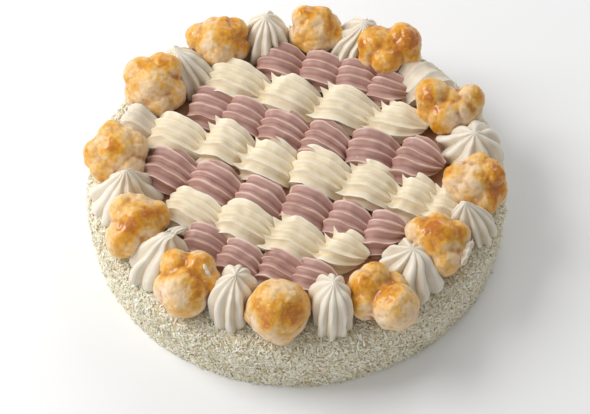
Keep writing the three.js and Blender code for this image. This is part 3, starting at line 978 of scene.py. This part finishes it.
def join_balls(name, centre, balls):
    """One piece from the balls of dough of a puff."""
    bpy.ops.object.select_all(action="DESELECT")
    parts = []
    for *place, radius in balls:
        spot = centre + Vector(place)
        bpy.ops.mesh.primitive_ico_sphere_add(subdivisions=BALL_DETAIL, radius=radius, location=spot)
        parts.append(bpy.context.object)
    for part in parts:
        part.select_set(True)
    bpy.context.view_layer.objects.active = parts[0]
    bpy.ops.object.join()
    piece = bpy.context.object
    piece.name = name
    settle(piece)
    return piece


def bake_puffs(material, slab):
    """The puffs: balls of dough under one skin, with lumps, cracks and a fine crust."""
    lumps = lump_texture("choux_lumps", "CLOUDS", LUMPS["size"], noise_depth=1)
    cracks = lump_texture("choux_cracks", "VORONOI", CRACKS["size"], distance_metric="DISTANCE",
                          weight_1=-1.0, weight_2=1.0)
    crust = lump_texture("choux_crust", "CLOUDS", CRUST["size"], noise_depth=2)
    for number, puff in enumerate(PUFFS):
        spot = heading(puff_bearing(number)) * (PUFF_RING + puff["out"])
        centre = Vector((spot.x, spot.y, DECK + PUFF_LIFT))
        name = f"puff_{number + 1:02d}"
        piece = join_balls("choux_" + name, centre, puff["balls"])
        apply_modifier(piece, "REMESH", mode="VOXEL", voxel_size=DOUGH_MESH)
        soften(piece, DOUGH_SOFTENING[0])
        displace(piece, lumps, LUMPS["depth"])
        displace(piece, cracks, CRACKS["depth"], CRACKS["middle"])
        soften(piece, DOUGH_SOFTENING[1])
        displace(piece, crust, CRUST["depth"])
        flatten_foot(piece, slab)
        smooth_shade(piece, SOFT_ANGLE)
        mark_choux(piece, centre, puff["caramel"])
        dress(piece, material, "glazed_choux", name)


# Body and coat


def select_edges_at(piece, level):
    """Selects, in edit mode, the edges that lie at a level."""
    cage = bmesh.from_edit_mesh(piece.data)
    for edge in cage.edges:
        edge.select = all(abs(point.co.z - level) < LEVEL_REACH for point in edge.verts)
    bmesh.update_edit_mesh(piece.data)


def make_body(material):
    """The body under the coat and the toppings."""
    bpy.ops.object.select_all(action="DESELECT")
    bpy.ops.mesh.primitive_cylinder_add(
        vertices=BODY_SIDES, radius=WALL_RADIUS, depth=BODY_HEIGHT, location=(0, 0, BODY_HEIGHT / 2))
    piece = bpy.context.object
    piece.name = "cake_core"
    settle(piece)
    bpy.ops.object.mode_set(mode="EDIT")
    bpy.ops.mesh.select_mode(type="EDGE")
    select_edges_at(piece, BODY_HEIGHT)
    bpy.ops.mesh.bevel(offset=SHOULDER, segments=SHOULDER_STEPS)
    select_edges_at(piece, 0)
    foot = FOOT_RADIUS / WALL_RADIUS
    bpy.ops.transform.resize(value=(foot, foot, 1), center_override=(0, 0, 0))
    bpy.ops.object.mode_set(mode="OBJECT")
    smooth_shade(piece, BODY_ANGLE)
    dress(piece, material, "shred_coat", "cake_body")


def coat_thickness(round_angle, along):
    """How thick the coat lies, 0 to 1, from handfuls that are the same for every kind of shred."""
    draws = np.random.default_rng(COAT_PATCH_SEED)
    cells = round(2 * math.pi * WALL_RADIUS / COAT_PATCH)
    rows = int(along.max() / COAT_PATCH) + 2
    handfuls = draws.uniform(0, 1, (cells, rows))
    column, next_share = np.divmod(round_angle / (2 * math.pi) * cells, 1)
    row, upper_share = np.divmod(along / COAT_PATCH, 1)
    here = column.astype(int) % cells
    after = (here + 1) % cells
    row = row.astype(int)
    low = handfuls[here, row] * (1 - next_share) + handfuls[after, row] * next_share
    high = handfuls[here, row + 1] * (1 - next_share) + handfuls[after, row + 1] * next_share
    return low * (1 - upper_share) + high * upper_share


def coat_spots(draws, count):
    """Random places on the coat, more of them where it is thick: bearing, distance from the axis,
    height, and the tilt of the outward normal."""
    wall = math.hypot(WALL_RADIUS - FOOT_RADIUS, BODY_HEIGHT - SHOULDER)
    bend = SHOULDER * math.pi / 2
    rim = WALL_RADIUS - SHOULDER - COAT_INNER_RADIUS
    drawn = COAT_CHOICE * count
    round_angle = draws.uniform(0, 2 * math.pi, drawn)
    along = draws.uniform(0, wall + bend + rim, drawn)
    weight = COAT_THINNEST + coat_thickness(round_angle, along) ** COAT_BUNCHING
    kept = draws.choice(drawn, count, replace=False, p=weight / weight.sum())
    round_angle = round_angle[kept]
    along = along[kept]
    share = np.clip(along / wall, 0, 1)
    tilt = np.clip((along - wall) / SHOULDER, 0, math.pi / 2)
    inward = np.clip(along - wall - bend, 0, None)
    foot_to_wall = FOOT_RADIUS + (WALL_RADIUS - FOOT_RADIUS) * share
    distance = foot_to_wall - SHOULDER * (1 - np.cos(tilt)) - inward
    height = (BODY_HEIGHT - SHOULDER) * share + SHOULDER * np.sin(tilt)
    return round_angle, distance, height, tilt


def shred_points(draws, count, length, half):
    """The points of slivers that lie every way on the coat and are stuck a little into it: for each
    sliver a pointed end, two rings of corners and the other end."""
    round_angle, distance, height, tilt = coat_spots(draws, count)
    spoke = np.stack([np.cos(round_angle), np.sin(round_angle), np.zeros(count)], axis=1)
    upward = np.array([[0.0, 0.0, 1.0]])
    normal = spoke * np.cos(tilt)[:, None] + upward * np.sin(tilt)[:, None]
    level = np.cross(upward, spoke)
    rising = np.cross(normal, level)
    lie = draws.uniform(0, 2 * math.pi, count)[:, None]
    stand = draws.normal(*SHRED_RISE, count)[:, None]
    axis = unit((level * np.cos(lie) + rising * np.sin(lie)) * np.cos(stand) + normal * np.sin(stand))
    side = unit(np.cross(normal, axis))
    top = np.cross(axis, side)
    lift = draws.uniform(0.0, SHRED_LIFT, count)[:, None]
    middle = spoke * distance[:, None] + upward * height[:, None] + normal * lift
    long = draws.uniform(*length, count)[:, None]
    thick = half * draws.uniform(*SHRED_THICKNESS, count)[:, None]
    bow = draws.normal(0, SHRED_BOW, count)[:, None] * long
    points = [middle - axis * long * 0.5 - top * bow]
    for share in (-SHRED_CORNERS, SHRED_CORNERS):
        for corner in range(SHRED_SIDES):
            turn = math.radians(360 / SHRED_SIDES * corner)
            reach = side * math.cos(turn) + top * math.sin(turn)
            points.append(middle + axis * long * share + reach * thick)
    points.append(middle + axis * long * 0.5 - top * bow)
    places = np.stack(points, axis=1).reshape(-1, 3)
    places[:, 2] = np.maximum(places[:, 2], LOWEST_SHRED)
    return places


def shred_faces(count):
    """The triangles of the slivers: from the ends to the rings, and from ring to ring."""
    near = 1
    far = near + SHRED_SIDES
    tip = far + SHRED_SIDES
    faces = []
    for corner in range(SHRED_SIDES):
        after = (corner + 1) % SHRED_SIDES
        faces += [(0, near + after, near + corner), (far + corner, far + after, tip)]
        faces += [(near + corner, near + after, far + after), (near + corner, far + after, far + corner)]
    starts = (tip + 1) * np.arange(count)
    return (np.array(faces)[None] + starts[:, None, None]).reshape(-1, 3)


def scatter_shreds(material, name, count, seed, length, half):
    """One kind of shred all over the coat, as one mesh."""
    draws = np.random.default_rng(seed)
    mesh = bpy.data.meshes.new(name)
    mesh.from_pydata(shred_points(draws, count, length, half), [], shred_faces(count))
    piece = bpy.data.objects.new(name, mesh)
    bpy.context.scene.collection.objects.link(piece)
    tints = draws.uniform(0, 1, count)
    point_values(piece, "tint", np.repeat(tints, len(mesh.vertices) // count))
    dress(piece, material, "shred_coat", "cake_body")


# Stage


def make_camera():
    tilt = math.radians(CAMERA_ELEVATION)
    back = Vector((0, -math.cos(tilt), math.sin(tilt)))
    right = Vector((1, 0, 0))
    up = back.cross(right)
    roll = math.radians(CAMERA_ROLL)
    turned_right = right * math.cos(roll) + up * math.sin(roll)
    turned_up = up * math.cos(roll) - right * math.sin(roll)
    data = bpy.data.cameras.new("camera")
    data.sensor_width = SENSOR_WIDTH
    data.lens = FOCAL_PIXELS / PICTURE_WIDTH * SENSOR_WIDTH
    camera = bpy.data.objects.new("camera", data)
    bpy.context.scene.collection.objects.link(camera)
    axes = Matrix((turned_right, turned_up, back)).transposed().to_4x4()
    camera.matrix_world = Matrix.Translation(CAMERA_TARGET + back * CAMERA_DISTANCE) @ axes
    bpy.context.scene.camera = camera


def area_light(name, place, size, power):
    """A square soft light that faces the cake."""
    data = bpy.data.lights.new(name, "AREA")
    data.size = size
    data.energy = power
    lamp = bpy.data.objects.new(name, data)
    bpy.context.scene.collection.objects.link(lamp)
    lamp.location = place
    lamp.rotation_euler = (-Vector(place)).to_track_quat("-Z", "Y").to_euler()


def make_stage():
    bpy.ops.object.select_all(action="DESELECT")
    bpy.ops.mesh.primitive_plane_add(size=FLOOR_SIZE)
    floor = bpy.context.object
    floor.name = "floor"
    floor.data.materials.append(new_material("pale_floor", Base_Color=FLOOR_COLOUR, Roughness=0.7)[0])
    world = bpy.data.worlds.new("studio")
    world.use_nodes = True
    background = world.node_tree.nodes["Background"]
    background.inputs["Color"].default_value = WHITE
    background.inputs["Strength"].default_value = ROOM_LIGHT
    bpy.context.scene.world = world
    for light in LIGHTS:
        area_light(**light)
    bpy.context.scene.view_settings.view_transform = "Standard"


MOTTLE = make_mottle_group()
make_camera()
make_stage()
creams = {name: cream_material(name + "_cream", **finish) for name, finish in CREAMS.items()}
make_body(spread_and_shaded_filling_material())
coat = shred_material()
for kind in COAT_KINDS:
    scatter_shreds(coat, **kind)
slab = make_slab()
pipe_rows(creams, slab)
pipe_rosettes(creams["whipped"], slab)
add_white_streaks(creams["whipped"])
bake_puffs(choux_material(), slab)
bpy.data.objects.remove(slab)
